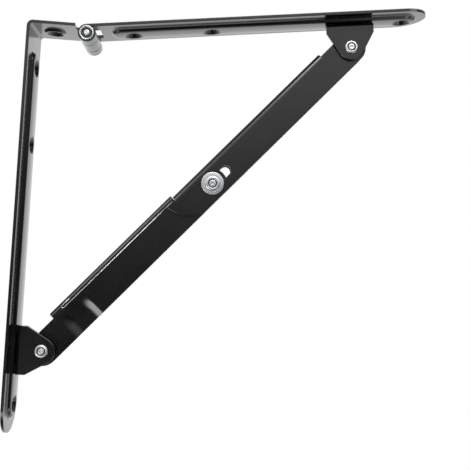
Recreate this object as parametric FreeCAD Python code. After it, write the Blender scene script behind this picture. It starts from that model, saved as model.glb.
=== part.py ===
"""Drop leaf table bracket, opened: two hinged plates and a pair of folding arms between them.

Frame: the wall plate's back face is X = 0, +X points away from the wall, +Z is up and +Y runs
into the bracket's width. The origin is on the wall plate's flat back face, below its lip. Millimetres.
"""
import FreeCAD
import Part
import math
import os

V = FreeCAD.Vector

# the frame's origin lies this far below the lip's top face
origin_drop = 9.0

# plates
plate_width = 27.0
plate_thick = 1.5
wall_height = 205.0
shelf_length = 173.6
lip_bend_radius = 3.0
lip_full_reach = 23.4

# stiffening ridge pressed into both plates
ridge_height = 2.0
ridge_half_width = 7.4
ridge_top_half_width = 6.2
ridge_corner = 5.0
ridge_wall = 0.9
press_radius = 1.5
channel_radius = 1.0
wall_ridge_start = 13.2
shelf_ridge_start = 11.5

# screw holes
screw_hole_dia = 5.6
screw_head_dia = 9.2
dimple_floor = 0.3
dimple_wall = 1.1
dimple_land = 1.0
dimple_lip_radius = 0.7
lip_hole_x = 11.5
lip_boss_radius = 5.7
lip_boss_top = 4.7
lip_boss_height = 1.1
lip_seat_depth = 1.4
wall_hole_1 = 21.0
wall_hole_2 = 60.0
wall_end_land = 14.2
wall_hole_3 = wall_height - wall_end_land
shelf_hole_1 = 22.2
shelf_hole_2 = 62.2
shelf_end_land = 12.6
shelf_hole_3 = shelf_length - shelf_end_land

# main hinge
hinge_x = 29.3
knuckle_radius = 4.4
knuckle_bore = 2.9
centre_knuckle_half = 5.8
knuckle_gap = 0.6
notch_reach = 6.2
pin_radius = 2.87
pin_flare = 3.6
pin_flare_height = 0.7
pin_dish_floor = 1.5
pin_dish_depth = 0.9
pin_rim = 0.7
pin_button_height = 0.5

# clevises that carry the arms
clevis_half_width = 6.2
clevis_thick = 1.5
clevis_bend_radius = 2.2
clevis_half_length = 12.2
clevis_shoulder = 5.2
clevis_tip_radius = 6.6
clevis_back_half_length = 6.6
pivot_height = 12.7
lower_pivot_drop = 162.8
upper_pivot_reach = 132.6

# folding arms
lower_arm_length = 119.6
upper_arm_length = 99.7
arm_half_height = 7.7
arm_end_radius = 8.0
arm_thick = 1.3
upper_arm_half_width = 4.5
lower_arm_half_width = 2.9
lower_flange_inset = 0.5
lower_rim_height = 2.6
upper_web_level = 9.3
lower_web_level = 10.7
upper_bend_radius = 2.8
lower_bend_radius = 2.2
lower_web_start = 15.0
lower_web_end = 99.95
upper_web_start = -19.4
upper_web_end = 85.6
tail_reach = 25.0
tail_heel = 12.0
pocket_depth = 0.9
pocket_start = 19.2
pocket_end = 37.4
pocket_slope = 4.5

# slot and rivets
slot_width = 5.1
slot_travel = 9.4
centre_shank_radius = 2.5
centre_washer_radius = 5.75
centre_washer_thick = 1.0
centre_head_radius = 3.75
centre_head_height = 1.1
pivot_shank_radius = 2.2
pivot_head_radius = 3.3
pivot_head_height = 1.0
inner_head_radius = 3.2
inner_head_height = 0.7
rivet_groove_outer = 0.66
rivet_groove_inner = 0.48
rivet_groove_depth = 0.5
running_clearance = 0.05

half = plate_width / 2
hinge_z = -knuckle_radius
pivot_offset = plate_thick + ridge_height + pivot_height


def box(x0, x1, y0, y1, z0, z1):
    """A block between two corners."""
    return Part.makeBox(x1 - x0, y1 - y0, z1 - z0, V(x0, y0, z0))


def rod(x, z, radius, y0, y1):
    """A round bar along Y."""
    return Part.makeCylinder(radius, y1 - y0, V(x, y0, z), V(0, 1, 0))


def slab(edges, y0, y1):
    """Extrudes a closed outline that lies in the XZ plane from y0 to y1."""
    face = Part.Face(Part.Wire(edges))
    face.translate(V(0, y0, 0))
    return face.extrude(V(0, y1 - y0, 0))


def line(a, b):
    """A straight edge between two (x, z) points."""
    return Part.makeLine(V(a[0], 0, a[1]), V(b[0], 0, b[1]))


def arc(a, m, b):
    """An arc through three (x, z) points."""
    return Part.Arc(V(a[0], 0, a[1]), V(m[0], 0, m[1]), V(b[0], 0, b[1])).toShape()


def on_circle(centre, radius, degrees):
    """The (x, z) point at an angle on a circle."""
    a = math.radians(degrees)
    return (centre[0] + radius * math.cos(a), centre[1] + radius * math.sin(a))


def joined(shapes):
    """One clean solid from overlapping solids."""
    whole = shapes[0].fuse(shapes[1:]) if len(shapes) > 1 else shapes[0]
    return whole.removeSplitter()


def turned(shape, x, z, degrees):
    """Turns a shape built along +X up by an angle, then moves its origin to (x, z)."""
    copy = shape.copy()
    copy.rotate(V(0, 0, 0), V(0, -1, 0), degrees)
    copy.translate(V(x, 0, z))
    return copy


def flared(points, direction, start, length):
    """A prism from a closed outline of points, moved to its start and run along a direction."""
    face = Part.Face(Part.makePolygon(points + points[:1]))
    face.translate(direction * start)
    return face.extrude(direction * length)


def ridge_block(start, end, low, high, shrink):
    """The solid of the ridge between two levels: sloping sides, round corners and a full round end."""
    w = ridge_half_width - shrink
    x = start + shrink
    r = min(ridge_corner, w * 0.9)
    slope = (ridge_half_width - ridge_top_half_width) / ridge_height
    step = slope * (high - low)
    rise = high - low
    long_side = [V(0, -w, low), V(0, w, low), V(0, w - step, high), V(0, step - w, high)]
    front = [V(x, 0, low), V(x + r, 0, low), V(x + r, 0, high), V(x + step, 0, high)]
    pieces = [
        flared(long_side, V(1, 0, 0), x + r, end - x - r),
        flared(front, V(0, 1, 0), r - w, 2 * (w - r)),
        Part.makeCone(w, w - step, rise, V(end, 0, low)),
    ]
    for y in (r - w, w - r):
        pieces.append(Part.makeCone(r, r - step, rise, V(x + r, y, low)))
    return joined(pieces)


def softened(shape, level, start, end, radius):
    """Rounds the ridge's edges that lie flat at one level, and leaves the strip's own edges alone."""
    reach = ridge_half_width + 0.05
    picked = []
    for edge in shape.Edges:
        b = edge.BoundBox
        flat = abs(b.ZMin - level) < 0.005 and abs(b.ZMax - level) < 0.005
        inside = b.YMin > -reach and b.YMax < reach and b.XMin > start - 0.05 and b.XMax < end + reach
        if flat and inside:
            picked.append(edge)
    return shape.makeFillet(radius, picked)


def strip_with_ridge(outline, ridge_start, ridge_end, holes):
    """A flat strip along X, outer face on Z = 0, with its ridge raised on the +Z side."""
    flat = Part.Face(outline).extrude(V(0, 0, plate_thick))
    top = plate_thick + ridge_height
    raised = ridge_block(ridge_start, ridge_end, plate_thick, top, 0.0)
    body = flat.fuse(raised)
    body = softened(body, top, ridge_start, ridge_end, press_radius)
    body = softened(body, plate_thick, ridge_start, ridge_end, press_radius)
    channel = ridge_block(ridge_start, ridge_end, 0.0, ridge_height, ridge_wall)
    channel = softened(channel, ridge_height, ridge_start, ridge_end, channel_radius)
    body = body.cut(channel)
    body = softened(body, 0.0, ridge_start, ridge_end, channel_radius)
    r0 = screw_hole_dia / 2
    r1 = screw_head_dia / 2
    low = dimple_floor + dimple_land
    for x in holes:
        cup = Part.makeCone(r0 + dimple_wall, r1 + dimple_wall, ridge_height - dimple_floor + 0.3, V(x, 0, dimple_floor))
        seat = Part.makeCone(r0, r1, top - low, V(x, 0, low))
        body = body.fuse(cup)
        body = body.cut(seat.fuse(Part.makeCylinder(r0, top + 1, V(x, 0, -0.5))))
        rim = [e for e in body.Edges if isinstance(e.Curve, Part.Circle) and abs(e.Curve.Radius - r1) < 0.01
               and e.Curve.Center.distanceToPoint(V(x, 0, top)) < 0.01]
        body = body.makeFillet(dimple_lip_radius, rim)
    return body


def rounded_strip(x0, x1):
    """The outline of a strip from a square end to a full round end."""
    c = x1 - half
    return Part.Wire([
        Part.makeLine(V(x0, -half, 0), V(c, -half, 0)),
        Part.Arc(V(c, -half, 0), V(x1, 0, 0), V(c, half, 0)).toShape(),
        Part.makeLine(V(c, half, 0), V(x0, half, 0)),
        Part.makeLine(V(x0, half, 0), V(x0, -half, 0)),
    ])


def knuckle(y0, y1, tangent_x):
    """A rolled eye about the origin with its leaf running along the top to tangent_x."""
    eye = rod(0, 0, knuckle_radius, y0, y1)
    lo, hi = min(0, tangent_x), max(0, tangent_x)
    leaf = box(lo, hi, y0, y1, knuckle_radius - plate_thick, knuckle_radius)
    side = 1 if tangent_x > 0 else -1
    seam_x = sorted((side * 0.6, side * (knuckle_radius + 1)))
    seam = box(seam_x[0], seam_x[1], y0 - 1, y1 + 1, knuckle_radius - plate_thick - 0.35,
               knuckle_radius - plate_thick)
    bore = rod(0, 0, knuckle_bore, y0 - 1, y1 + 1)
    return eye.fuse(leaf).cut(bore).cut(seam)


def make_wall_plate():
    """The plate that screws to the wall, with its bent lip and the centre knuckle."""
    strip = strip_with_ridge(rounded_strip(lip_bend_radius, wall_height), wall_ridge_start, wall_hole_3,
                             [wall_hole_1, wall_hole_2, wall_hole_3])
    # local +X runs down the wall, local +Z away from it
    strip.rotate(V(0, 0, 0), V(0, 1, 0), 90)
    r = lip_bend_radius
    t = plate_thick
    outer = rod(r, -r, r, -half, half)
    inner = rod(r, -r, r - t, -half - 1, half + 1)
    bend = outer.cut(inner).common(box(0, r, -half, half, -r, 0))
    lip = box(r, lip_full_reach, -half, half, -t, 0)
    # the lip's screw sits in a small boss pressed down out of the lip
    face = -t - lip_boss_height
    boss = Part.makeCone(lip_boss_top, lip_boss_radius, lip_boss_height, V(lip_hole_x, 0, face))
    seat = Part.makeCone(screw_head_dia / 2 - 0.2, screw_hole_dia / 2, lip_seat_depth, V(lip_hole_x, 0, face))
    hole = Part.makeCylinder(screw_hole_dia / 2, t - face, V(lip_hole_x, 0, face))
    eye = knuckle(-centre_knuckle_half, centre_knuckle_half, lip_full_reach - hinge_x - 1)
    eye.translate(V(hinge_x, 0, hinge_z))
    return joined([strip, bend, lip, boss, eye]).cut(seat).cut(hole).removeSplitter()


def make_shelf_plate():
    """The plate under the table leaf, level, hinge axis at the origin."""
    strip = strip_with_ridge(rounded_strip(notch_reach, shelf_length), shelf_ridge_start, shelf_hole_3,
                             [shelf_hole_1, shelf_hole_2, shelf_hole_3])
    # local +Z points down from the leaf
    strip.rotate(V(0, 0, 0), V(1, 0, 0), 180)
    strip.translate(V(0, 0, knuckle_radius))
    y0 = centre_knuckle_half + knuckle_gap
    near = knuckle(-half, -y0, notch_reach + 1)
    far = knuckle(y0, half, notch_reach + 1)
    return joined([strip, near, far])


def make_hinge_pin():
    """The hinge pin's two ends, fixed in the shelf plate's knuckles, each flared over with a dished face."""
    y0 = centre_knuckle_half + knuckle_gap
    ends = []
    for side in (-1, 1):
        shank = Part.makeCylinder(pin_radius, half - y0, V(0, side * y0, 0), V(0, side, 0))
        flare = Part.makeCone(pin_radius, pin_flare, pin_flare_height, V(0, side * half, 0), V(0, side, 0))
        face = half + pin_flare_height
        dish = Part.makeCone(pin_dish_floor, pin_flare - pin_rim, pin_dish_depth,
                             V(0, side * (face - pin_dish_depth), 0), V(0, side, 0))
        button = Part.makeCone(pin_dish_floor * 0.85, pin_dish_floor * 0.5, pin_button_height,
                               V(0, side * (face - pin_dish_depth), 0), V(0, side, 0))
        ends.append(shank.fuse(flare).cut(dish).fuse(button).removeSplitter())
    return Part.makeCompound(ends)


def clevis_ear_edges():
    """The ear's outline: X along the plate, Z up from the ridge, pivot at (0, pivot_height)."""
    c = (0.0, pivot_height)
    corner = (clevis_half_length, clevis_shoulder)
    dx = corner[0] - c[0]
    dz = corner[1] - c[1]
    reach = math.hypot(dx, dz)
    turn = math.degrees(math.acos(clevis_tip_radius / reach))
    a = math.degrees(math.atan2(dz, dx)) + turn
    right = on_circle(c, clevis_tip_radius, a)
    left = (-right[0], right[1])
    base_r = (clevis_half_length, 0.0)
    base_l = (-clevis_half_length, 0.0)
    return [
        line(base_l, base_r),
        line(base_r, corner),
        line(corner, right),
        arc(right, (0.0, pivot_height + clevis_tip_radius), left),
        line(left, (-corner[0], corner[1])),
        line((-corner[0], corner[1]), base_l),
    ]


def make_clevis():
    """A folded clevis: base on Z = 0, two ears along +Z."""
    w = clevis_half_width
    t = clevis_thick
    r = clevis_bend_radius
    block = slab(clevis_ear_edges(), -w, w)
    inner = box(-clevis_half_length - 1, clevis_half_length + 1, -w + t, w - t, t, 60)
    body = block.cut(inner)
    # the two outer bends along the base
    for side in (-1, 1):
        y = side * w
        lo, hi = sorted((y, y - side * r))
        corner = box(-clevis_half_length - 1, clevis_half_length + 1, lo, hi, 0, r)
        round_bar = Part.makeCylinder(r, 2 * clevis_half_length + 4,
                                      V(-clevis_half_length - 2, y - side * r, r), V(1, 0, 0))
        body = body.cut(corner.cut(round_bar))
        lo, hi = sorted((y - side * t, y - side * (t + r - t)))
        web = box(-clevis_half_length, clevis_half_length, lo, hi, t, r)
        inside = Part.makeCylinder(r - t, 2 * clevis_half_length + 4,
                                   V(-clevis_half_length - 2, y - side * r, r), V(1, 0, 0))
        body = body.fuse(web.cut(inside))
    # the ear at the back is a plain tab as wide as its round tip, and the base narrows to it
    b = clevis_back_half_length
    for side in (-1, 1):
        lo, hi = sorted((side * b, side * (clevis_half_length + 1)))
        body = body.cut(box(lo, hi, 1 + r - w, w + 1, -1, 60))
    hole = rod(0, pivot_height, pivot_shank_radius, -w - 1, w + 1)
    return body.cut(hole).removeSplitter()


def channel(x0, x1, half_width, low, level, radius):
    """The top of a folded channel along X: a web at the level with two rounded bends."""
    t = arm_thick

    def hat(w, top, r):
        return Part.Face(Part.Wire([
            Part.makeLine(V(x0, -w, low), V(x0, -w, top - r)),
            Part.Arc(V(x0, -w, top - r), V(x0, -w + r * (1 - math.sqrt(0.5)), top - r * (1 - math.sqrt(0.5))),
                     V(x0, -w + r, top)).toShape(),
            Part.makeLine(V(x0, -w + r, top), V(x0, w - r, top)),
            Part.Arc(V(x0, w - r, top), V(x0, w - r * (1 - math.sqrt(0.5)), top - r * (1 - math.sqrt(0.5))),
                     V(x0, w, top - r)).toShape(),
            Part.makeLine(V(x0, w, top - r), V(x0, w, low)),
            Part.makeLine(V(x0, w, low), V(x0, -w, low)),
        ])).extrude(V(x1 - x0, 0, 0))

    inner = hat(half_width - t, level - t, radius - t)
    inner.translate(V(0, 0, -0.001))
    return hat(half_width, level, radius).cut(inner)


def joggled_flange(x0, x1, half_width, side, low, high):
    """A flange along X that dips inwards by pocket_depth between two smooth slopes."""
    d = pocket_depth
    k = pocket_slope * 0.45
    a0, a1 = pocket_start, pocket_start + pocket_slope
    b0, b1 = pocket_end - pocket_slope, pocket_end

    def face_edges(y):
        points = [V(x0, side * y, low), V(a0, side * y, low), V(a1, side * (y - d), low),
                  V(b0, side * (y - d), low), V(b1, side * y, low), V(x1, side * y, low)]
        edges = [Part.makeLine(points[0], points[1])]
        for i in (1, 3):
            dip = Part.BezierCurve()
            dip.setPoles([points[i], points[i] + V(k, 0, 0), points[i + 1] - V(k, 0, 0), points[i + 1]])
            edges.append(dip.toShape())
            edges.append(Part.makeLine(points[i + 1], points[i + 2]))
        return edges, points[0], points[-1]

    outer, outer_start, outer_end = face_edges(half_width)
    inner, inner_start, inner_end = face_edges(half_width - arm_thick)
    ring = outer + [Part.makeLine(outer_end, inner_end)] + inner[::-1] + [Part.makeLine(inner_start, outer_start)]
    return Part.Face(Part.Wire(ring)).extrude(V(0, 0, high - low))


def make_lower_arm():
    """The inner arm: wall pivot at the origin, centre rivet at lower_arm_length along X."""
    n = lower_arm_length
    h = arm_half_height
    r = arm_end_radius
    t = arm_thick
    w = lower_arm_half_width
    profile = [
        line((0, -h), (n, -h)),
        arc((n, -h), (n + h, 0), (n, h)),
        line((n, h), (0, h)),
        arc((0, h), (-r, 0), (0, -h)),
    ]
    outline = slab(profile, -w, w)
    f = w - lower_flange_inset
    rim = lower_web_level - lower_rim_height
    pieces = [channel(lower_web_start, lower_web_end, w, rim, lower_web_level, lower_bend_radius)]
    for side in (-1, 1):
        flange = joggled_flange(-r - 1, n + r + 1, f, side, -h, h).common(outline)
        step = [V(0, side * f, h - 1), V(0, side * f, rim - lower_flange_inset), V(0, side * w, rim),
                V(0, side * w, rim + 0.4), V(0, side * (f - t), rim + 0.4), V(0, side * (f - t), h - 1)]
        pieces.append(flange)
        pieces.append(flared(step, V(1, 0, 0), lower_web_start, lower_web_end - lower_web_start))
    body = joined(pieces)
    body = body.cut(rod(0, 0, pivot_shank_radius + running_clearance, -20, 20))
    return body.cut(rod(n, 0, centre_shank_radius + running_clearance, -20, 20)).removeSplitter()


def make_upper_arm():
    """The outer arm: centre rivet at the origin, shelf pivot at upper_arm_length along X."""
    n = upper_arm_length
    h = arm_half_height
    r = arm_end_radius
    w = upper_arm_half_width
    mid = (-(tail_reach + tail_heel) / 2 - 1.7, -h * 0.42)
    profile = [
        line((-tail_heel, -h), (n, -h)),
        arc((n, -h), (n + r, 0), (n, h)),
        line((n, h), (-tail_reach, h)),
        arc((-tail_reach, h), mid, (-tail_heel, -h)),
    ]
    solid = slab(profile, -w, w)
    gap = box(-tail_reach - 5, n + r + 5, -w + arm_thick, w - arm_thick, -h - 1, h + 1)
    spring = upper_web_level - upper_bend_radius - 0.5
    top = channel(upper_web_start, upper_web_end, w, spring, upper_web_level, upper_bend_radius)
    under = box(upper_web_start, upper_web_end, -w - 1, w + 1, spring, h + 1)
    body = joined([solid.cut(gap).cut(under), top])
    s = slot_width / 2
    slot = joined([
        rod(0, 0, s, -20, 20),
        rod(slot_travel, 0, s, -20, 20),
        box(0, slot_travel, -20, 20, -s, s),
    ])
    body = body.cut(slot)
    return body.cut(rod(n, 0, pivot_shank_radius + running_clearance, -20, 20)).removeSplitter()


def rivet_head(radius, height, y, side):
    """A low flat head with a chamfered rim and a round set groove, on the plane y."""
    base = Part.makeCylinder(radius, height * 0.55, V(0, y, 0), V(0, side, 0))
    rim = Part.makeCone(radius, radius * 0.82, height * 0.45, V(0, y + side * height * 0.55, 0), V(0, side, 0))
    floor = y + side * (height - rivet_groove_depth)
    groove = Part.makeCylinder(radius * rivet_groove_outer, height, V(0, floor, 0), V(0, side, 0))
    button = Part.makeCylinder(radius * rivet_groove_inner, height, V(0, floor, 0), V(0, side, 0))
    return base.fuse(rim).cut(groove.cut(button))


def make_centre_rivet():
    """The rivet through both arms at the slot."""
    y = upper_arm_half_width + running_clearance + centre_washer_thick
    shank = Part.makeCylinder(centre_shank_radius, 2 * y, V(0, -y, 0), V(0, 1, 0))
    heads = [rivet_head(centre_head_radius, centre_head_height, side * y, side) for side in (-1, 1)]
    return joined([shank] + heads)


def make_centre_washers():
    """The two wide washers under the centre rivet's heads."""
    y = upper_arm_half_width + running_clearance
    rings = []
    for side in (-1, 1):
        disc = Part.makeCylinder(centre_washer_radius, centre_washer_thick, V(0, side * y, 0), V(0, side, 0))
        rings.append(disc.cut(rod(0, 0, centre_shank_radius, -20, 20)))
    return Part.makeCompound(rings)


def make_lower_pivot_rivet():
    """The rivet through the lower clevis, its spacers and the lower arm."""
    y = clevis_half_width
    shank = Part.makeCylinder(pivot_shank_radius, 2 * y, V(0, -y, 0), V(0, 1, 0))
    heads = [rivet_head(pivot_head_radius, pivot_head_height, side * y, side) for side in (-1, 1)]
    return joined([shank] + heads)


def make_lower_spacers():
    """The two washers that centre the narrow lower arm between the ears."""
    y0 = lower_arm_half_width - lower_flange_inset + running_clearance
    y1 = clevis_half_width - clevis_thick
    rings = []
    for side in (-1, 1):
        disc = Part.makeCylinder(pivot_head_radius + 0.9, y1 - y0, V(0, side * y0, 0), V(0, side, 0))
        rings.append(disc.cut(rod(0, 0, pivot_shank_radius, -20, 20)))
    return Part.makeCompound(rings)


def make_upper_pivot_rivets():
    """The two short rivets that join the upper arm to the shelf clevis, one on each side."""
    inside = upper_arm_half_width - arm_thick - running_clearance
    rivets = []
    for side in (-1, 1):
        y = side * clevis_half_width
        shank = Part.makeCylinder(pivot_shank_radius, clevis_half_width - inside, V(0, side * inside, 0), V(0, side, 0))
        tail = Part.makeCylinder(inner_head_radius, inner_head_height, V(0, side * inside, 0), V(0, -side, 0))
        rivets.append(joined([shank, tail, rivet_head(pivot_head_radius, pivot_head_height, y, side)]))
    return Part.makeCompound(rivets)


# the opened pose: the straight arms set the shelf's angle
low_x = pivot_offset
low_z = -lower_pivot_drop
up_drop = pivot_offset - knuckle_radius
lx = low_x - hinge_x
lz = low_z - hinge_z
to_low = math.hypot(lx, lz)
to_up = math.hypot(upper_pivot_reach, up_drop)
span = lower_arm_length + upper_arm_length
spread = math.degrees(math.acos((to_low ** 2 + to_up ** 2 - span ** 2) / (2 * to_low * to_up)))
low_angle = math.degrees(math.atan2(lz, lx))
up_angle = low_angle + spread
shelf_angle = up_angle + math.degrees(math.atan2(up_drop, upper_pivot_reach))
up_x, up_z = on_circle((hinge_x, hinge_z), to_up, up_angle)
arm_angle = math.degrees(math.atan2(up_z - low_z, up_x - low_x))
mid_x, mid_z = on_circle((low_x, low_z), lower_arm_length, arm_angle)

clevis = make_clevis()
lower_clevis = clevis.copy()
lower_clevis.rotate(V(0, 0, 0), V(0, 1, 0), 90)
lower_clevis.translate(V(plate_thick + ridge_height, 0, low_z))
upper_clevis = clevis.copy()
upper_clevis.rotate(V(0, 0, 0), V(0, 1, 0), 180)
upper_clevis.translate(V(upper_pivot_reach, 0, knuckle_radius - plate_thick - ridge_height))

parts = {
    "wall_plate": make_wall_plate(),
    "shelf_plate": turned(make_shelf_plate(), hinge_x, hinge_z, shelf_angle),
    "hinge_pin": turned(make_hinge_pin(), hinge_x, hinge_z, shelf_angle),
    "lower_clevis": lower_clevis,
    "upper_clevis": turned(upper_clevis, hinge_x, hinge_z, shelf_angle),
    "lower_arm": turned(make_lower_arm(), low_x, low_z, arm_angle),
    "upper_arm": turned(make_upper_arm(), mid_x, mid_z, arm_angle),
    "centre_rivet": turned(make_centre_rivet(), mid_x, mid_z, arm_angle),
    "centre_washers": turned(make_centre_washers(), mid_x, mid_z, arm_angle),
    "lower_pivot_rivet": turned(make_lower_pivot_rivet(), low_x, low_z, arm_angle),
    "lower_pivot_spacers": turned(make_lower_spacers(), low_x, low_z, arm_angle),
    "upper_pivot_rivets": turned(make_upper_pivot_rivets(), up_x, up_z, arm_angle),
}

os.makedirs("parts", exist_ok=True)
for name, shape in parts.items():
    shape.translate(V(0, 0, origin_drop))
    shape.exportStep("parts/" + name + ".step")
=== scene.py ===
"""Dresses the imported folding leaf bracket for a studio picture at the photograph's angle."""

import logging
import math
from collections.abc import Iterable
from dataclasses import dataclass, field
from enum import Enum

import bmesh
import bpy
from mathutils import Matrix, Vector


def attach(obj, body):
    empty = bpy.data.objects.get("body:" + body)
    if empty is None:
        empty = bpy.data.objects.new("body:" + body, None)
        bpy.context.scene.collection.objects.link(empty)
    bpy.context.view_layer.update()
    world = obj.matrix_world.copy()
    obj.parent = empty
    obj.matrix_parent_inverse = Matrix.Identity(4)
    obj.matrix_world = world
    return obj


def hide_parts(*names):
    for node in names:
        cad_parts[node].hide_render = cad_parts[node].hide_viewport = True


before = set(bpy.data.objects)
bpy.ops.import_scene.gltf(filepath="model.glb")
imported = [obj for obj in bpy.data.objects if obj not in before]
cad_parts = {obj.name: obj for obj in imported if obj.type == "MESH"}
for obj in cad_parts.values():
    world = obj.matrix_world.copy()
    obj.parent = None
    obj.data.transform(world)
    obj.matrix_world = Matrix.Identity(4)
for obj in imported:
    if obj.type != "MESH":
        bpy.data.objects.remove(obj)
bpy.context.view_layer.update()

log = logging.getLogger("bracket")

MM = 0.001
IMAGE_PIXELS = 470.0
# the vertex attribute that marks where the zinc is painted darker as shade, in tool rings and dished pin
# ends
PAINTED_SHADE_ATTRIBUTE = "painted_groove_shade"
WHITE = (1.0, 1.0, 1.0, 1.0)

# metres below which points count as one, as packed and after spinning or pressing, and slivers close up
SAME_POINT = 0.0005 * MM
CLOSE_POINT = 0.002 * MM
SLIVER = 0.001 * MM

# angles past which an edge shades sharp, and below which two faces count as one flat
TURNED_SHARP = math.radians(38.0)
STAMPED_SHARP = math.radians(33.0)
FLAT_ANGLE = math.radians(0.1)

FLAT_FACE_WEIGHT = 100
BEVEL_SAMPLES = 6
BUMP_MM = 0.02

Point = tuple[float, float]
Place = tuple[float, float, float]
Colour = tuple[float, float, float, float]
Socket = bpy.types.NodeSocket
Tree = bpy.types.NodeTree


class Slot(Enum):
    """The record's material slots."""

    PAINT = "black_paint"
    ZINC = "zinc"


class Side(Enum):
    """The two faces of the bracket along the hinge axis."""

    FRONT = -1.0
    BACK = 1.0


def linear(hex_colour: str) -> Colour:
    """Turns an sRGB hex colour into the linear colour that shaders take.

    Args:
        hex_colour: six hex digits, with or without a leading hash sign.

    Returns:
        Red, green, blue and an alpha of 1.
    """
    digits = hex_colour.lstrip("#")
    channels = []
    for start in (0, 2, 4):
        value = int(digits[start:start + 2], 16) / 255.0
        channels.append(value / 12.92 if value <= 0.04045 else ((value + 0.055) / 1.055) ** 2.4)
    return (channels[0], channels[1], channels[2], 1.0)


def per_mm(size_mm: float) -> float:
    """Gives the texture scale at which one feature measures size_mm on the object.

    Args:
        size_mm: the feature's real size in millimetres.

    Returns:
        The scale for Object coordinates in metres.
    """
    return 1.0 / (size_mm * MM)


def ease(share: float) -> float:
    """Eases a share so that it starts and ends level.

    Args:
        share: the share, held between 0 and 1.

    Returns:
        The eased share.
    """
    kept = min(1.0, max(0.0, share))
    return kept * kept * (3.0 - 2.0 * kept)


def in_order(parts: Iterable) -> list:
    """Lists mesh parts once each in the order in which they come, so that every run gives the same mesh.

    Args:
        parts: the parts, some of them more than once.

    Returns:
        The parts without repeats.
    """
    return list(dict.fromkeys(parts))


def add_node(tree: Tree, kind: str, settings: dict | None = None, **sockets) -> bpy.types.Node:
    """Adds one node, sets its options and fills its sockets.

    Args:
        tree: the node tree that gets the node.
        kind: the node's Blender type name.
        settings: attributes set on the node itself.
        **sockets: input names with spaces as underscores, or at_ and an index. An output is linked and
            a value is set.

    Returns:
        The new node.
    """
    node = tree.nodes.new(kind)
    for name, value in (settings or {}).items():
        setattr(node, name, value)
    for name, value in sockets.items():
        if name.startswith("at_"):
            target = node.inputs[int(name[3:])]
        else:
            target = node.inputs[name.replace("_", " ")]
        if isinstance(value, Socket):
            tree.links.new(value, target)
        else:
            target.default_value = value
    return node


def noise(tree: Tree, place: Socket, size_mm: float, **sockets) -> Socket:
    """Adds noise whose features have a real size.

    Args:
        tree: the material's nodes.
        place: the object's coordinates.
        size_mm: the size of one feature in millimetres.
        **sockets: the noise's other inputs.

    Returns:
        The noise's strength.
    """
    node = add_node(tree, "ShaderNodeTexNoise", Vector=place, Scale=per_mm(size_mm), **sockets)
    return node.outputs["Fac"]


def blend(tree: Tree, share: Socket, first: Socket | Colour, second: Socket | Colour) -> Socket:
    """Adds a mix of two colours.

    Args:
        tree: the material's nodes.
        share: the second colour's share.
        first: the first colour.
        second: the second colour.

    Returns:
        The mixed colour.
    """
    node = add_node(
        tree, "ShaderNodeMix", {"data_type": "RGBA"}, Factor=share, at_6=first, at_7=second
    )
    return node.outputs["Result"]


def remap(tree: Tree, value: Socket, span: Point, ends: Point, curve: str = "LINEAR") -> Socket:
    """Adds a node that carries a value from one range to another.

    Args:
        tree: the nodes.
        value: the value.
        span: the range that it comes from.
        ends: what the span's two ends become.
        curve: how it runs between them.

    Returns:
        The new value.
    """
    node = add_node(
        tree,
        "ShaderNodeMapRange",
        {"interpolation_type": curve},
        Value=value,
        From_Min=span[0],
        From_Max=span[1],
        To_Min=ends[0],
        To_Max=ends[1],
    )
    return node.outputs["Result"]


def calculate(tree: Tree, operation: str, first: Socket, second: Socket | float) -> Socket:
    """Adds one sum of two values.

    Args:
        tree: the nodes.
        operation: the sum's Blender name.
        first: the first value.
        second: the second value.

    Returns:
        The result.
    """
    node = add_node(tree, "ShaderNodeMath", {"operation": operation}, at_0=first, at_1=second)
    return node.outputs["Value"]


def worked_normal(tree: Tree, height: Socket, strength: float, edge_mm: float) -> Socket:
    """Adds softened edges with a fine unevenness over them.

    Args:
        tree: the material's nodes.
        height: the unevenness.
        strength: how much of it shows.
        edge_mm: the radius of the softened edges in millimetres.

    Returns:
        The normal.
    """
    rounded = add_node(tree, "ShaderNodeBevel", {"samples": BEVEL_SAMPLES}, Radius=edge_mm * MM)
    bump = add_node(
        tree,
        "ShaderNodeBump",
        Strength=strength,
        Distance=BUMP_MM * MM,
        Height=height,
        Normal=rounded.outputs["Normal"],
    )
    return bump.outputs["Normal"]


def empty_material(name: str) -> bpy.types.Material:
    """Makes a material with an empty node tree.

    Args:
        name: the material's name.

    Returns:
        The new material.
    """
    material = bpy.data.materials.new(name)
    material.use_nodes = True
    material.node_tree.nodes.clear()
    return material


@dataclass(frozen=True)
class Finish:
    """A real material, measured on the object itself."""

    name: str

    def shade(self, tree: Tree, place: Socket) -> bpy.types.Node:
        """Adds the material's nodes.

        Args:
            tree: the material's nodes.
            place: the object's coordinates.

        Returns:
            The shader.
        """
        raise NotImplementedError

    def make(self) -> bpy.types.Material:
        """Builds the node material.

        Returns:
            The finished material.
        """
        material = empty_material(self.name)
        tree = material.node_tree
        place = add_node(tree, "ShaderNodeTexCoord").outputs["Object"]
        shader = self.shade(tree, place)
        add_node(tree, "ShaderNodeOutputMaterial", Surface=shader.outputs["BSDF"])
        return material


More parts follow.
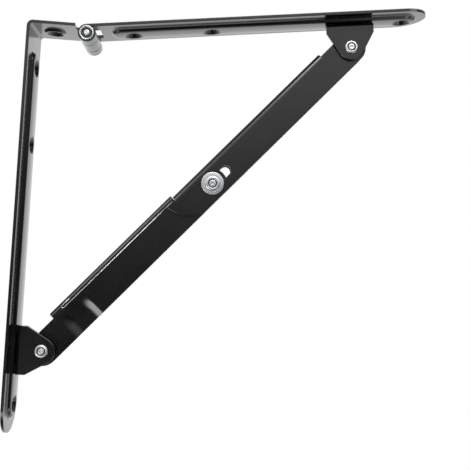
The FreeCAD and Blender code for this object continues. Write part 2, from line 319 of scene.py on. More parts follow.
@dataclass(frozen=True)
class PaintFinish(Finish):
    """Baked black paint on stamped steel."""

    name: str = "Baked_Black_Paint"
    colour: str = "#070708"
    thin_colour: str = "#0d0d0e"
    roughness: Point = (0.20, 0.27)
    patches: Point = (0.3, 0.7)
    smudge_mm: float = 28.0
    peel_mm: float = 0.9
    peel_strength: float = 0.06
    edge_mm: float = 0.5
    coat: float = 0.7
    coat_roughness: float = 0.15

    def shade(self, tree: Tree, place: Socket) -> bpy.types.Node:
        """Adds the paint's nodes.

        Args:
            tree: the material's nodes.
            place: the object's coordinates.

        Returns:
            The shader.
        """
        # a thin, even, dipped and baked coat: nearly black, with soft clear reflections, a faint orange
        # peel, slightly duller patches from handling, and a pale line of light on every softened edge
        smudge = noise(tree, place, self.smudge_mm, Detail=4.0, Roughness=0.6)
        peel = noise(tree, place, self.peel_mm, Detail=1.0)
        return add_node(
            tree,
            "ShaderNodeBsdfPrincipled",
            Base_Color=blend(tree, smudge, linear(self.colour), linear(self.thin_colour)),
            Roughness=remap(tree, smudge, self.patches, self.roughness),
            Normal=worked_normal(tree, peel, self.peel_strength, self.edge_mm),
            Specular_IOR_Level=0.5,
            Coat_Weight=self.coat,
            Coat_Roughness=self.coat_roughness,
        )


@dataclass(frozen=True)
class ZincFinish(Finish):
    """Bright zinc plating on cold-headed steel rivets, washers and pin ends."""

    name: str = "Bright_Zinc_Plate"
    colour: str = "#d6d8da"
    dull_colour: str = "#b2b5b8"
    painted_shade_colour: str = "#4c4f53"
    roughness: Point = (0.38, 0.50)
    patches: Point = (0.3, 0.7)
    cloud_mm: float = 1.6
    scratch_mm: float = 0.35
    scratch_strength: float = 0.12
    edge_mm: float = 0.12

    def shade(self, tree: Tree, place: Socket) -> bpy.types.Node:
        """Adds the plating's nodes.

        Args:
            tree: the material's nodes.
            place: the object's coordinates.

        Returns:
            The shader.
        """
        # barrel-plated zinc: a pale, cool, cloudy metal with small dings, and painted shade: a darker colour
        # in the riveting tool's ring and in the pin ends' dished faces, where shade falls
        cloud = noise(tree, place, self.cloud_mm, Detail=3.0)
        scratch = noise(tree, place, self.scratch_mm, Detail=2.0)
        painted_shade = add_node(tree, "ShaderNodeAttribute", {"attribute_name": PAINTED_SHADE_ATTRIBUTE}).outputs["Fac"]
        metal = blend(tree, cloud, linear(self.colour), linear(self.dull_colour))
        return add_node(
            tree,
            "ShaderNodeBsdfPrincipled",
            Base_Color=blend(tree, painted_shade, metal, linear(self.painted_shade_colour)),
            Metallic=1.0,
            Roughness=remap(tree, cloud, self.patches, self.roughness),
            Normal=worked_normal(tree, scratch, self.scratch_strength, self.edge_mm),
        )


@dataclass(frozen=True)
class WornEdgeFinish(Finish):
    """Sheared steel that shows through the paint along a hem."""

    name: str = "Worn_Steel_Edge"
    colour: str = "#cac8c3"
    paint_colour: str = "#8e8d8a"
    roughness: float = 0.34
    wear_mm: float = 3.0
    bare: Point = (0.34, 0.52)

    def shade(self, tree: Tree, place: Socket) -> bpy.types.Node:
        """Adds the bare edge's nodes.

        Args:
            tree: the material's nodes.
            place: the object's coordinates.

        Returns:
            The shader.
        """
        # cold-rolled steel at a sheared edge: a thin grey line that glints, broken where paint still holds
        wear = noise(tree, place, self.wear_mm, Detail=3.0)
        share = remap(tree, wear, self.bare, (0.0, 1.0))
        return add_node(
            tree,
            "ShaderNodeBsdfPrincipled",
            Base_Color=blend(tree, share, linear(self.paint_colour), linear(self.colour)),
            Metallic=1.0,
            Roughness=self.roughness,
        )


def soften_shading(shape: bmesh.types.BMesh, sharp: float) -> None:
    """Shades a mesh smoothly, apart from its sharp edges.

    Args:
        shape: the mesh.
        sharp: the angle between two faces from which their edge stays sharp, in radians.
    """
    for face in shape.faces:
        face.smooth = True
    for edge in shape.edges:
        edge.smooth = edge.calc_face_angle(0.0) < sharp


def link_piece(name: str, shape: bmesh.types.BMesh) -> bpy.types.Object:
    """Makes an object of a mesh and puts it into the scene.

    Args:
        name: the object's name.
        shape: the mesh, which is freed.

    Returns:
        The object.
    """
    data = bpy.data.meshes.new(name)
    shape.to_mesh(data)
    shape.free()
    piece = bpy.data.objects.new(name, data)
    bpy.context.scene.collection.objects.link(piece)
    log.info("%s: %d faces", name, len(data.polygons))
    return piece


@dataclass
class TurnedMesh:
    """One or more round pieces spun about axes that run along the hinge direction."""

    name: str
    pivot: Point
    steps: int = 72
    soften_mm: float = 0.10
    soften_segments: int = 3
    mesh: bmesh.types.BMesh = field(default_factory=bmesh.new)

    def spin(self, profile: list[Point], ring: bool, dark: Point | None = None) -> None:
        """Spins one profile and adds it to the mesh.

        Args:
            profile: radius and Y of each corner in millimetres, from the front to the back.
            ring: whether the profile closes on itself, as on a washer.
            dark: inner and outer radius in millimetres of the ring that is painted darker as shade.
        """
        turned = bmesh.new()
        corners = [turned.verts.new((radius * MM, y * MM, 0.0)) for radius, y in profile]
        pairs = list(zip(corners, corners[1:]))
        if ring:
            pairs.append((corners[-1], corners[0]))
        edges = [turned.edges.new(pair) for pair in pairs]
        inner = [corner for corner in corners if len(corner.link_edges) == 2 and corner.co.x > 0.0]
        bmesh.ops.bevel(
            turned,
            geom=inner + edges,
            offset=self.soften_mm * MM,
            offset_type="OFFSET",
            segments=self.soften_segments,
            profile=0.5,
            affect="VERTICES",
            clamp_overlap=True,
            material=-1,
        )
        bmesh.ops.spin(
            turned,
            geom=turned.verts[:] + turned.edges[:],
            axis=(0.0, 1.0, 0.0),
            cent=(0.0, 0.0, 0.0),
            steps=self.steps,
            angle=math.tau,
            use_merge=True,
        )
        bmesh.ops.remove_doubles(turned, verts=turned.verts[:], dist=CLOSE_POINT)
        bmesh.ops.recalc_face_normals(turned, faces=turned.faces[:])
        centre = (self.pivot[0] * MM, 0.0, self.pivot[1] * MM)
        bmesh.ops.translate(turned, verts=turned.verts[:], vec=centre)
        scratch = bpy.data.meshes.new("spun")
        turned.to_mesh(scratch)
        turned.free()
        before = len(self.mesh.verts)
        self.mesh.from_mesh(scratch)
        bpy.data.meshes.remove(scratch)
        self.mark_painted_shade(before, dark)

    def mark_painted_shade(self, first: int, dark: Point | None) -> None:
        """Marks the ring that is painted darker as shade on the newest vertices.

        Args:
            first: index of the first new vertex.
            dark: inner and outer radius of the ring in millimetres, or nothing.
        """
        layers = self.mesh.verts.layers.float
        layer = layers.get(PAINTED_SHADE_ATTRIBUTE) or layers.new(PAINTED_SHADE_ATTRIBUTE)
        self.mesh.verts.ensure_lookup_table()
        for corner in self.mesh.verts[first:]:
            radius = math.hypot(corner.co.x / MM - self.pivot[0], corner.co.z / MM - self.pivot[1])
            corner[layer] = 1.0 if dark and dark[0] <= radius <= dark[1] else 0.0

    def finish(self, body: str, node: str, material: bpy.types.Material) -> None:
        """Makes the object that stands for a CAD node.

        Args:
            body: the body that carries it.
            node: the CAD node that it replaces.
            material: its finish.
        """
        soften_shading(self.mesh, TURNED_SHARP)
        piece = link_piece(self.name, self.mesh)
        piece.data.materials.append(material)
        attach(piece, body)
        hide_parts(node)


def ring_profile(inner: float, outer: float, near: float, far: float) -> list[Point]:
    """Gives the corners of a plain ring.

    Args:
        inner: its inner radius.
        outer: its outer radius.
        near: the Y of its first face.
        far: the Y of its second face.

    Returns:
        Radius and Y of each corner.
    """
    return [(inner, near), (outer, near), (outer, far), (inner, far)]


@dataclass
class RivetHead:
    """A cold-formed rivet head with a rounded rim, a tool ring and a low button.

    The last fields are shares of the radius or the height, or both as a pair; a lip is a width in
    millimetres with a share of the height.
    """

    radius: float
    height: float
    ring_outer: float
    ring_inner: float
    ring_depth: float
    dimple_depth: float
    rim_height: float = 0.45
    shoulder: Point = (0.90, 0.88)
    top_radius: float = 0.78
    outer_lip: Point = (0.12, 0.97)
    inner_lip: Point = (0.15, 0.92)
    button_radius: float = 0.55
    dimple_radius: float = 0.30
    shade_margin: float = 0.05

    def profile(self, face: float, side: Side) -> list[Point]:
        """Gives the head's corners from its rim to its axis.

        Args:
            face: distance from the mid-plane to the surface that it sits on, in millimetres.
            side: the face of the bracket that it is on.

        Returns:
            Radius and Y of each corner.
        """
        floor = self.height - self.ring_depth
        dimple = self.height - self.dimple_depth
        steps = [
            (self.radius, 0.0),
            (self.radius, self.height * self.rim_height),
            (self.radius * self.shoulder[0], self.height * self.shoulder[1]),
            (self.radius * self.top_radius, self.height),
            (self.ring_outer + self.outer_lip[0], self.height * self.outer_lip[1]),
            (self.ring_outer, floor),
            (self.ring_inner, floor),
            (self.ring_inner - self.inner_lip[0], self.height * self.inner_lip[1]),
            (self.ring_inner * self.button_radius, self.height),
            (self.ring_inner * self.dimple_radius, dimple),
            (0.0, dimple),
        ]
        return [(radius, side.value * (face + rise)) for radius, rise in steps]

    def through(self, shank_radius: float, face: float) -> list[Point]:
        """Gives the corners of a whole rivet with this head at both ends.

        Args:
            shank_radius: the shank's radius.
            face: distance from the mid-plane to the surfaces that the heads sit on.

        Returns:
            Radius and Y of each corner.
        """
        front = self.profile(face, Side.FRONT)[::-1]
        shank = [(shank_radius, -face), (shank_radius, face)]
        return front + shank + self.profile(face, Side.BACK)

    def painted_shade_ring(self) -> Point:
        """Gives the radii between which the tool ring is painted darker as shade.

        Returns:
            The inner and the outer radius in millimetres.
        """
        return (self.ring_inner - self.shade_margin, self.ring_outer + self.shade_margin)


def cut_faces(shape: bmesh.types.BMesh, faces: list, point: Vector, way: Vector) -> None:
    """Cuts faces by one plane.

    Args:
        shape: the mesh that holds them.
        faces: the faces to cut.
        point: a point of the plane, in metres.
        way: the direction that the plane faces.
    """
    edges = in_order(edge for face in faces for edge in face.edges)
    corners = in_order(corner for face in faces for corner in face.verts)
    bmesh.ops.bisect_plane(
        shape, geom=corners + edges + faces, dist=SAME_POINT, plane_co=point, plane_no=way
    )


def triangulate_wide(shape: bmesh.types.BMesh, most: int) -> None:
    """Cuts the faces with many corners into triangles.

    Args:
        shape: the mesh.
        most: the most corners that a face may keep.
    """
    bmesh.ops.triangulate(shape, faces=[face for face in shape.faces if len(face.verts) > most])


@dataclass(frozen=True)
class Pressing:
    """A soft form that pressing leaves on a stamped piece."""

    def press(self, shape: bmesh.types.BMesh) -> None:
        """Forms the piece.

        Args:
            shape: the piece's mesh.
        """
        raise NotImplementedError


@dataclass(frozen=True)
class StripPressing(Pressing):
    """A pressing that is placed along and across a strip of sheet, in millimetres."""

    origin: Point
    along_degrees: float

    def along_way(self) -> Vector:
        """Gives the direction along the strip.

        Returns:
            The direction, one long.
        """
        turn = math.radians(self.along_degrees)
        return Vector((math.cos(turn), 0.0, math.sin(turn)))

    def across_way(self) -> Vector:
        """Gives the direction across the strip.

        Returns:
            The direction, one long.
        """
        turn = math.radians(self.along_degrees)
        return Vector((-math.sin(turn), 0.0, math.cos(turn)))

    def place(self, corner: Vector) -> Point:
        """Gives a point's place on the strip.

        Args:
            corner: the point, in metres.

        Returns:
            Its distances along and across the strip from the origin, in millimetres.
        """
        turn = math.radians(self.along_degrees)
        x = corner.x / MM - self.origin[0]
        z = corner.z / MM - self.origin[1]
        return (x * math.cos(turn) + z * math.sin(turn), z * math.cos(turn) - x * math.sin(turn))


@dataclass(frozen=True)
class RidgeCrown(StripPressing):
    """The slight crown that the die leaves across a plate's stiffening ridge."""

    raised: float
    start: float
    foot: float = 1.5
    height: float = 2.0
    half_width: float = 6.2
    drop: float = 0.4
    cuts: int = 21
    slack: float = 0.02

    def level(self, corner: Vector) -> Point:
        """Gives a point's place along the plate and its level above the plate's outer face.

        Args:
            corner: the point, in metres.

        Returns:
            Both, in millimetres.
        """
        along, across = self.place(corner)
        return (along, self.raised * across)

    def on_top(self, face: bmesh.types.BMFace) -> bool:
        """Tells whether a face lies on the ridge's flat top.

        Args:
            face: the face.

        Returns:
            True if all its corners do.
        """
        top = self.foot + self.height
        spots = [self.level(corner.co) for corner in face.verts]
        return all(along > self.start and abs(level - top) < self.slack for along, level in spots)

    def press(self, shape: bmesh.types.BMesh) -> None:
        """Cuts the ridge's top into narrow strips and lets them fall away towards both edges.

        Args:
            shape: the plate's mesh.
        """
        for cut in range(self.cuts):
            y = self.half_width * (2.0 * (cut + 1) / (self.cuts + 1) - 1.0)
            top = [face for face in shape.faces if self.on_top(face)]
            cut_faces(shape, top, Vector((0.0, y * MM, 0.0)), Vector((0.0, 1.0, 0.0)))
        triangulate_wide(shape, 3)
        outward = self.across_way() * self.raised
        for corner in shape.verts:
            along, level = self.level(corner.co)
            if along > self.start and self.foot < level < self.foot + self.height + self.slack:
                share = min(1.0, abs(corner.co.y) / (self.half_width * MM)) ** 2
                fall = self.drop * share * (level - self.foot) / self.height
                corner.co -= outward * (fall * MM)


@dataclass(frozen=True)
class PressedDip(StripPressing):
    """The soft dip pressed into both flanges of the lower arm, which runs out towards the web."""

    start: float = 15.8
    end: float = 34.7
    reach: float = 37.6
    start_slope: float = 6.0
    end_slope: float = 5.0
    end_lean: float = 0.75
    depth: float = 0.9
    full_below: float = -1.5
    none_above: float = 6.6
    flange_top: float = 7.72
    flange_face: float = 2.4
    flange_back: float = 1.1
    along_step: float = 0.6
    across_step: float = 1.0
    along_slack: float = 0.01
    face_slack: float = 0.02

    def dip(self, along: float, across: float) -> float:
        """Gives the dip's depth at one place.

        Args:
            along: distance along the arm from its pivot, in millimetres.
            across: distance across the arm towards its web, in millimetres.

        Returns:
            The depth in millimetres.
        """
        into = ease((along - self.start) / self.start_slope)
        out = ease(max(0.0, (self.end - along) / self.end_slope) ** self.end_lean)
        run_out = 1.0 - ease((across - self.full_below) / (self.none_above - self.full_below))
        return self.depth * into * out * run_out

    def cut_at(self, shape: bmesh.types.BMesh, along: float) -> None:
        """Cuts the arm across its length.

        Args:
            shape: the arm's mesh.
            along: where, along the arm from its pivot in millimetres.
        """
        pivot = Vector((self.origin[0], 0.0, self.origin[1]))
        cut_faces(shape, shape.faces[:], (pivot + self.along_way() * along) * MM, self.along_way())

    def cut_row(self, shape: bmesh.types.BMesh, across: float) -> None:
        """Cuts the flanges lengthwise where the dip shapes them.

        Args:
            shape: the arm's mesh.
            across: where, across the arm from its pivot in millimetres.
        """
        pivot = Vector((self.origin[0], 0.0, self.origin[1]))
        faces = [face for face in shape.faces if all(self.held(corner) for corner in face.verts)]
        cut_faces(shape, faces, (pivot + self.across_way() * across) * MM, self.across_way())

    def held(self, corner: bmesh.types.BMVert) -> bool:
        """Tells whether a vertex is on the part of the flanges that the dip shapes.

        Args:
            corner: the vertex.

        Returns:
            True if it is.
        """
        along, across = self.place(corner.co)
        inside = self.start - self.along_slack < along < self.reach + self.along_slack
        outer = (self.flange_face + self.face_slack) * MM
        return inside and across < self.flange_top and abs(corner.co.y) < outer

    def press(self, shape: bmesh.types.BMesh) -> None:
        """Cuts the flanges finely and presses the dip into them.

        Args:
            shape: the arm's mesh.
        """
        for step in range(int((self.reach - self.start) / self.along_step) + 1):
            self.cut_at(shape, self.start + step * self.along_step)
        self.cut_at(shape, self.reach)
        rows = int(self.flange_top / self.across_step)
        for row in range(-rows, rows + 1):
            self.cut_row(shape, row * self.across_step)
        middle = (self.flange_face - self.depth + self.flange_back) / 2.0
        for corner in shape.verts:
            if self.held(corner):
                flat = self.flange_face if abs(corner.co.y) > middle * MM else self.flange_back
                depth = self.dip(*self.place(corner.co))
                corner.co.y = math.copysign((flat - depth) * MM, corner.co.y)
        bmesh.ops.remove_doubles(shape, verts=shape.verts[:], dist=CLOSE_POINT)
        bmesh.ops.dissolve_degenerate(shape, edges=shape.edges[:], dist=SLIVER)
        triangulate_wide(shape, 3)


@dataclass(frozen=True)
class RolledEdge(Pressing):
    """The small round that blanking leaves along the outline of a flat flank."""

    flank: float
    radius: float = 0.34
    segments: int = 3
    slack: float = 0.01
    cut_slope: float = 0.1
    flat_slope: float = 0.999

    def on_outline(self, edge: bmesh.types.BMEdge) -> bool:
        """Tells whether an edge lies between a flank and the sheet's cut edge.

        Args:
            edge: the edge.

        Returns:
            True if it does.
        """
        off = [abs(abs(corner.co.y) - self.flank * MM) for corner in edge.verts]
        if len(edge.link_faces) != 2 or max(off) > self.slack * MM:
            return False
        slopes = sorted(abs(face.normal.y) for face in edge.link_faces)
        return slopes[0] < self.cut_slope and slopes[1] > self.flat_slope

    def press(self, shape: bmesh.types.BMesh) -> None:
        """Merges the flanks' triangles and rounds their outlines.

        Args:
            shape: the piece's mesh.
        """
        shape.normal_update()
        bmesh.ops.dissolve_limit(
            shape,
            angle_limit=FLAT_ANGLE,
            use_dissolve_boundaries=False,
            verts=shape.verts[:],
            edges=shape.edges[:],
        )
        shape.normal_update()
        # not clamped, because one short edge by a bend would hold back the round everywhere
        bmesh.ops.bevel(
            shape,
            geom=[edge for edge in shape.edges if self.on_outline(edge)],
            offset=self.radius * MM,
            offset_type="OFFSET",
            segments=self.segments,
            profile=0.5,
            affect="EDGES",
            clamp_overlap=False,
            material=-1,
        )
        triangulate_wide(shape, 4)
        bmesh.ops.dissolve_degenerate(shape, edges=shape.edges[:], dist=SLIVER)


def smooth_copy(node: str, body: str, pressing: Pressing) -> bpy.types.Object:
    """Makes a merged copy of a stamped CAD node whose bends shade smoothly, to stand in its place.

    Args:
        node: the CAD node.
        body: the body that carries it.
        pressing: the soft form that pressing leaves on the node.

    Returns:
        The copy.
    """
    shape = bmesh.new()
    shape.from_mesh(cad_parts[node].data)
    bmesh.ops.remove_doubles(shape, verts=shape.verts[:], dist=SAME_POINT)
    pressing.press(shape)
    soften_shading(shape, STAMPED_SHARP)
    piece = link_piece(node.title(), shape)
    weigh = piece.modifiers.new("Flat_Faces_First", "WEIGHTED_NORMAL")
    weigh.keep_sharp = True
    weigh.weight = FLAT_FACE_WEIGHT
    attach(piece, body)
    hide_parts(node)
    return piece


@dataclass
class SubAssembly:
    """A group of pieces that move together, of which the stamped ones are painted."""

    painted: list[bpy.types.Object] = field(default_factory=list, init=False)

    def build(self, zinc: bpy.types.Material) -> None:
        """Builds the pieces.

        Args:
            zinc: the round pieces' finish.
        """
        raise NotImplementedError

    def dress(self, paint: bpy.types.Material) -> None:
        """Paints the stamped pieces.

        Args:
            paint: their finish.
        """
        for piece in self.painted:
            piece.data.materials.clear()
            piece.data.materials.append(paint)
            log.info("%s gets %s", piece.name, paint.name)


@dataclass
class WallSide(SubAssembly):
    """The wall plate with its clevis, the lower pivot's rivet and its two spacers."""

    pivot: Point = (16.2, -153.8)
    ear_face: float = 6.2
    ear_thick: float = 1.5
    shank_radius: float = 2.2
    spacer_radius: float = 4.2
    arm_face: float = 2.45
    head: RivetHead = field(default_factory=lambda: RivetHead(3.3, 1.0, 2.05, 1.65, 0.6, 0.12))
    crown: RidgeCrown = RidgeCrown(origin=(0.0, 9.0), along_degrees=-90.0, raised=1.0, start=12.7)

    def build(self, zinc: bpy.types.Material) -> None:
        """Builds the stamped pieces and the lower pivot's round pieces.

        Args:
            zinc: the round pieces' finish.
        """
        self.painted = [
            smooth_copy("wall_plate", "wall", self.crown),
            smooth_copy("lower_clevis", "wall", RolledEdge(self.ear_face)),
        ]
        rivet = TurnedMesh("Lower_Pivot_Rivet", self.pivot)
        rivet.spin(self.head.through(self.shank_radius, self.ear_face), False, self.head.painted_shade_ring())
        rivet.finish("wall", "lower_pivot_rivet", zinc)
        spacers = TurnedMesh("Lower_Pivot_Spacers", self.pivot)
        for side in Side:
            near = side.value * self.arm_face
            far = side.value * (self.ear_face - self.ear_thick)
            spacers.spin(ring_profile(self.shank_radius, self.spacer_radius, near, far), True)
        spacers.finish("wall", "lower_pivot_spacers", zinc)


@dataclass
class ShelfSide(SubAssembly):
    """The shelf plate with its clevis, the two short pivot rivets and the hinge pin's ends."""

    pivot: Point = (162.325, 9.723)
    hinge: Point = (29.3, 4.6)
    ear_face: float = 6.2
    arm_inside: float = 3.15
    tail_radius: float = 3.2
    tail_height: float = 0.7
    shank_radius: float = 2.2
    knuckle_inner: float = 6.4
    knuckle_end: float = 13.5
    pin_radius: float = 2.87
    pin_flare: float = 3.6
    pin_flare_height: float = 0.7
    pin_flare_edge: Point = (0.2, 0.25)
    pin_rim: float = 0.75
    pin_rim_lip: float = 0.15
    pin_rim_slope: float = 0.45
    pin_shade_margin: float = 0.05
    pin_dish_depth: float = 1.1
    pin_button_radius: float = 1.45
    pin_button_foot: float = 0.15
    pin_button_edge: float = 0.1
    pin_button_top: float = 0.5
    pin_button_heights: Place = (0.62, 0.8, 0.7)
    head: RivetHead = field(default_factory=lambda: RivetHead(3.3, 1.0, 2.05, 1.65, 0.6, 0.12))
    crown: RidgeCrown = RidgeCrown(origin=(28.742, 8.964), along_degrees=7.2909, raised=-1.0, start=11.0)

    def pin_end(self, side: Side) -> list[Point]:
        """Gives one pin end's corners from its inner end to the middle of its dished face.

        Args:
            side: the face of the bracket that it is on.

        Returns:
            Radius and Y of each corner.
        """
        face = self.knuckle_end + self.pin_flare_height
        floor = face - self.pin_dish_depth
        wall = self.pin_flare - self.pin_rim
        button = [floor + self.pin_dish_depth * share for share in self.pin_button_heights]
        steps = [
            (0.0, self.knuckle_inner),
            (self.pin_radius, self.knuckle_inner),
            (self.pin_radius, self.knuckle_end),
            (self.pin_flare, face - self.pin_flare_edge[1]),
            (self.pin_flare - self.pin_flare_edge[0], face),
            (wall + self.pin_rim_lip, face),
            (wall - self.pin_rim_slope, floor),
            (self.pin_button_radius + self.pin_button_foot, floor),
            (self.pin_button_radius - self.pin_button_edge, button[0]),
            (self.pin_button_radius * self.pin_button_top, button[1]),
            (0.0, button[2]),
        ]
        return [(radius, side.value * y) for radius, y in steps]

    def short_rivet(self, side: Side) -> list[Point]:
        """Gives the corners of one short rivet from its inner tail to its head.

        Args:
            side: the face of the bracket that it is on.

        Returns:
            Radius and Y of each corner.
        """
        inner = side.value * (self.arm_inside - self.tail_height)
        seat = side.value * self.arm_inside
        tail = [
            (0.0, inner),
            (self.tail_radius, inner),
            (self.tail_radius, seat),
            (self.shank_radius, seat),
            (self.shank_radius, side.value * self.ear_face),
        ]
        return tail + self.head.profile(self.ear_face, side)

    def build(self, zinc: bpy.types.Material) -> None:
        """Builds the stamped pieces, the upper pivot's rivets and the hinge pin's ends.

        Args:
            zinc: the round pieces' finish.
        """
        self.painted = [
            smooth_copy("shelf_plate", "shelf", self.crown),
            smooth_copy("upper_clevis", "shelf", RolledEdge(self.ear_face)),
        ]
        rivets = TurnedMesh("Upper_Pivot_Rivets", self.pivot)
        pin = TurnedMesh("Hinge_Pin_Ends", self.hinge)
        # the pin ends' dished faces are painted darker as shade
        dish = (self.pin_button_radius, self.pin_flare - self.pin_rim + self.pin_shade_margin)
        for side in Side:
            rivets.spin(self.short_rivet(side), False, self.head.painted_shade_ring())
            pin.spin(self.pin_end(side), False, dish)
        rivets.finish("shelf", "upper_pivot_rivets", zinc)
        pin.finish("shelf", "hinge_pin", zinc)


@dataclass
class Brace(SubAssembly):
    """The two folding arms with the slot's rivet and its wide washers."""

    pivot: Point = (95.893, -64.619)
    arm_face: float = 4.55
    arm_side: float = 4.5
    washer_radius: float = 5.75
    washer_thick: float = 1.0
    washer_round: float = 0.22
    shank_radius: float = 2.5
    head: RivetHead = field(default_factory=lambda: RivetHead(3.75, 0.6, 2.2, 1.8, 0.45, 0.1))
    lower_pivot: Point = (16.2, -153.8)
    arm_degrees: float = 48.2158
    hem_level: float = 7.82
    hem_face: float = 2.8
    hem_radius: float = 0.27
    hem_sides: int = 10
    hem_start: float = 22.6
    hem_end: float = 98.6
    hem_return: float = 5.0
    hem_lift: float = 0.2
    hem_turn: float = 0.7
    hem_turn_steps: int = 8

    def hem_edge(self, worn: bpy.types.Material) -> None:
        """Runs the hem's sheared edge along both sides of the lower arm, with its hooked lower end.

        Args:
            worn: the edge's finish.
        """
        bead = bmesh.new()
        middle = (0.0, 0.0, 0.0)
        upright = Matrix.Rotation(math.pi / 2.0, 3, "Y")
        for side in Side:
            y = side.value * self.hem_face
            circle = bmesh.ops.create_circle(
                bead, cap_ends=False, segments=self.hem_sides, radius=self.hem_radius * MM
            )
            ends = circle["verts"]
            bmesh.ops.rotate(bead, verts=ends, cent=middle, matrix=upright)
            bmesh.ops.translate(bead, verts=ends, vec=Vector((self.hem_end, y, self.hem_level)) * MM)
            rim = in_order(edge for corner in ends for edge in corner.link_edges)
            bmesh.ops.contextual_create(bead, geom=rim)
            rim = self.push(bead, rim, (self.hem_start - self.hem_end, 0.0, 0.0))
            turned = bmesh.ops.spin(
                bead,
                geom=rim + in_order(corner for edge in rim for corner in edge.verts),
                axis=(0.0, 1.0, 0.0),
                cent=Vector((self.hem_start, y, self.hem_level + self.hem_turn)) * MM,
                steps=self.hem_turn_steps,
                angle=math.pi,
            )
            rim = [part for part in turned["geom_last"] if isinstance(part, bmesh.types.BMEdge)]
            rim = self.push(bead, rim, (self.hem_return, side.value * self.hem_lift, 0.0))
            bmesh.ops.contextual_create(bead, geom=rim)
        bmesh.ops.remove_doubles(bead, verts=bead.verts[:], dist=SLIVER)
        bmesh.ops.recalc_face_normals(bead, faces=bead.faces[:])
        lean = Matrix.Rotation(-math.radians(self.arm_degrees), 3, "Y")
        bmesh.ops.rotate(bead, verts=bead.verts[:], cent=middle, matrix=lean)
        place = Vector((self.lower_pivot[0], 0.0, self.lower_pivot[1])) * MM
        bmesh.ops.translate(bead, verts=bead.verts[:], vec=place)
        for face in bead.faces:
            face.smooth = len(face.verts) == 4
        piece = link_piece("Lower_Arm_Hem_Edge", bead)
        piece.data.materials.append(worn)
        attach(piece, "lower_arm")

    def push(self, bead: bmesh.types.BMesh, rim: list, way_mm: Place) -> list:
        """Extrudes a rim of edges.

        Args:
            bead: the mesh that holds the rim.
            rim: the rim's edges.
            way_mm: how far the new rim goes, in millimetres.

        Returns:
            The new rim's edges.
        """
        grown = bmesh.ops.extrude_edge_only(bead, edges=rim)["geom"]
        corners = [part for part in grown if isinstance(part, bmesh.types.BMVert)]
        bmesh.ops.translate(bead, verts=corners, vec=Vector(way_mm) * MM)
        fresh = set(corners)
        edges = [part for part in grown if isinstance(part, bmesh.types.BMEdge)]
        return [edge for edge in edges if edge.verts[0] in fresh and edge.verts[1] in fresh]

    def build(self, zinc: bpy.types.Material) -> None:
        """Builds the folded arms, the slot's rivet and its washers.

        Args:
            zinc: the round pieces' finish.
        """
        self.painted = [
            smooth_copy("lower_arm", "lower_arm", PressedDip(self.lower_pivot, self.arm_degrees)),
            smooth_copy("upper_arm", "upper_arm", RolledEdge(self.arm_side)),
        ]
        self.hem_edge(WornEdgeFinish().make())
        face = self.arm_face + self.washer_thick
        rivet = TurnedMesh("Slot_Rivet", self.pivot)
        rivet.spin(self.head.through(self.shank_radius, face), False, self.head.painted_shade_ring())
        rivet.finish("slot_rivet", "centre_rivet", zinc)
        washers = TurnedMesh("Slot_Washers", self.pivot, soften_mm=self.washer_round)
        for side in Side:
            near = side.value * self.arm_face
            far = side.value * face
            washers.spin(ring_profile(self.shank_radius, self.washer_radius, near, far), True)
        washers.finish("slot_rivet", "centre_washers", zinc)


@dataclass(frozen=True)
class LightPool:
    """One soft pool of light painted on the paper around the object as a glow that only reflections see, in
    metres.
    """

    place: Point
    radius: float
    level: float


@dataclass(frozen=True)
class Softbox:
    """One square area lamp that faces the object, in metres and watts."""

    name: str
    place: Place
    size: float
    watts: float


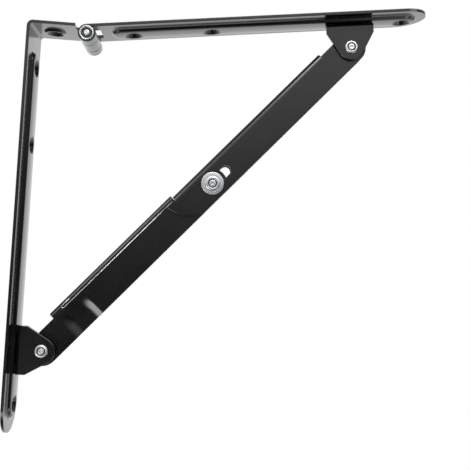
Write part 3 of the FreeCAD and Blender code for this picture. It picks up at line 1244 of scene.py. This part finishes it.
@dataclass
class Studio:
    """Camera, floor, lamps and surroundings.

    The spans are shares of a direction's length in the surroundings, and metres on the paper.
    """

    camera_mm: Place = (89.2455, -374.9201, -97.3869)
    right: Place = (0.99659503, -0.05411539, 0.06220827)
    up: Place = (-0.06318958, -0.01661416, 0.99786324)
    focal_pixels: float = 731.307
    sensor_mm: float = 36.0
    nearest: float = 0.01
    dark_level: float = 0.022
    side_level: float = 0.32
    behind_span: Point = (0.55, 0.95)
    above_span: Point = (-0.16, 0.50)
    front_span: Point = (-0.80, -0.35)
    paper_span: Point = (-0.25, 0.30)
    paper: str = "#f4f4f4"
    paper_glow: float = 0.99
    floor_half: float = 4.0
    floor_level: float = -0.7
    painted_light_pools: tuple[LightPool, ...] = (
        LightPool((-0.55, -1.05), 0.78, 6.0),
        LightPool((-0.80, -0.30), 0.60, 7.0),
        LightPool((0.85, -0.35), 0.50, 2.5),
    )
    lamp_target: Place = (0.09, 0.0, -0.09)
    lamps: tuple[Softbox, ...] = (
        Softbox("Overhead_Softbox", (0.1, -0.5, 1.1), 1.2, 14.0),
        Softbox("Left_Softbox", (-1.1, -0.7, 0.5), 0.9, 6.5),
        Softbox("Right_Softbox", (1.0, -0.7, 0.9), 0.9, 6.5),
        Softbox("Front_Softbox", (0.05, -0.85, 0.85), 0.5, 5.2),
    )

    def add_camera(self) -> None:
        """Sets the camera that the photograph was fitted to."""
        data = bpy.data.cameras.new("Photo_Camera")
        data.sensor_width = self.sensor_mm
        data.lens = self.focal_pixels / IMAGE_PIXELS * data.sensor_width
        data.clip_start = self.nearest
        camera = bpy.data.objects.new("Photo_Camera", data)
        bpy.context.scene.collection.objects.link(camera)
        right = Vector(self.right).normalized()
        up = Vector(self.up).normalized()
        back = right.cross(up)
        turn = Matrix((right, up, back)).transposed().to_4x4()
        camera.matrix_world = Matrix.Translation(Vector(self.camera_mm) * MM) @ turn
        bpy.context.scene.camera = camera
        log.info("camera at %s", tuple(camera.location))

    def paper_material(self) -> bpy.types.Material:
        """Makes the floor's paper.

        Returns:
            The finished material.
        """
        # matt white paper that is evenly white to the camera; to reflections it glows with painted light,
        # pale behind the object and painted dark in front of it, with soft painted pools of light
        material = empty_material("White_Paper_Floor")
        tree = material.node_tree
        path = add_node(tree, "ShaderNodeLightPath")
        camera = path.outputs["Is Camera Ray"]
        gloss = path.outputs["Is Glossy Ray"]
        place = add_node(tree, "ShaderNodeTexCoord").outputs["Object"]
        depth = add_node(tree, "ShaderNodeSeparateXYZ", Vector=place).outputs["Y"]
        # painted glow for reflections: dark in front of the bracket, pale behind it
        lit = remap(tree, depth, self.paper_span, (self.dark_level, 1.0), "SMOOTHSTEP")
        level = calculate(tree, "MAXIMUM", lit, camera)
        # each pool is light painted on the paper, seen only in reflections
        for pool in self.painted_light_pools:
            centre = (pool.place[0], pool.place[1], self.floor_level)
            away = add_node(
                tree, "ShaderNodeVectorMath", {"operation": "DISTANCE"}, at_0=place, at_1=centre
            )
            distance = away.outputs["Value"]
            fall = remap(tree, distance, (0.0, pool.radius), (pool.level, 0.0), "SMOOTHSTEP")
            level = calculate(tree, "MAXIMUM", level, calculate(tree, "MULTIPLY", fall, gloss))
        matt = add_node(tree, "ShaderNodeBsdfDiffuse", Color=linear(self.paper)).outputs[0]
        white = add_node(tree, "ShaderNodeEmission", Color=WHITE, Strength=level).outputs[0]
        plain = calculate(tree, "MULTIPLY", camera, self.paper_glow)
        seen = calculate(tree, "MAXIMUM", plain, gloss)
        both = add_node(tree, "ShaderNodeMixShader", at_0=seen, at_1=matt, at_2=white)
        add_node(tree, "ShaderNodeOutputMaterial", Surface=both.outputs[0])
        return material

    def add_floor(self) -> None:
        """Lays a pale floor well below the bracket, which hangs on a wall in use."""
        shape = bmesh.new()
        bmesh.ops.create_grid(shape, x_segments=1, y_segments=1, size=self.floor_half)
        bmesh.ops.translate(shape, verts=shape.verts[:], vec=(0.0, 0.0, self.floor_level))
        floor = link_piece("Floor", shape)
        floor.data.materials.append(self.paper_material())

    def add_lamps(self) -> None:
        """Hangs the softboxes."""
        for box in self.lamps:
            data = bpy.data.lights.new(box.name, "AREA")
            data.shape = "SQUARE"
            data.size = box.size
            data.energy = box.watts
            lamp = bpy.data.objects.new(box.name, data)
            lamp.visible_camera = False
            bpy.context.scene.collection.objects.link(lamp)
            aim = Vector(self.lamp_target) - Vector(box.place)
            turn = aim.to_track_quat("-Z", "Y").to_matrix().to_4x4()
            lamp.matrix_world = Matrix.Translation(box.place) @ turn

    def set_world(self) -> None:
        """Sets surroundings that are white behind, rise softly above the camera and are dim at the sides."""
        world = bpy.data.worlds.new("Studio")
        bpy.context.scene.world = world
        world.use_nodes = True
        tree = world.node_tree
        tree.nodes.clear()
        camera = add_node(tree, "ShaderNodeLightPath").outputs["Is Camera Ray"]
        way = add_node(tree, "ShaderNodeTexCoord").outputs["Generated"]
        split = add_node(tree, "ShaderNodeSeparateXYZ", Vector=way)
        depth = split.outputs["Y"]
        height = split.outputs["Z"]
        behind = remap(tree, depth, self.behind_span, (0.0, 1.0), "SMOOTHSTEP")
        above = remap(tree, height, self.above_span, (self.dark_level, 1.0), "SMOOTHSTEP")
        front = remap(tree, depth, self.front_span, (1.0, self.side_level), "SMOOTHSTEP")
        level = calculate(tree, "MAXIMUM", behind, calculate(tree, "MULTIPLY", above, front))
        white = add_node(tree, "ShaderNodeBackground", Color=WHITE, Strength=1.0).outputs[0]
        room = add_node(tree, "ShaderNodeBackground", Color=WHITE, Strength=level).outputs[0]
        both = add_node(tree, "ShaderNodeMixShader", at_0=camera, at_1=room, at_2=white)
        add_node(tree, "ShaderNodeOutputWorld", Surface=both.outputs[0])

    def build(self) -> None:
        """Builds the whole studio."""
        self.add_camera()
        self.add_floor()
        self.add_lamps()
        self.set_world()
        bpy.context.scene.view_settings.view_transform = "Standard"


def main() -> None:
    """Dresses the bracket and sets the studio."""
    logging.basicConfig(level=logging.INFO, format="%(name)s: %(message)s")
    paint = PaintFinish().make()
    zinc = ZincFinish().make()
    for group in (WallSide(), ShelfSide(), Brace()):
        group.build(zinc)
        group.dress(paint)
    Studio().build()


if __name__ == "__main__":
    main()
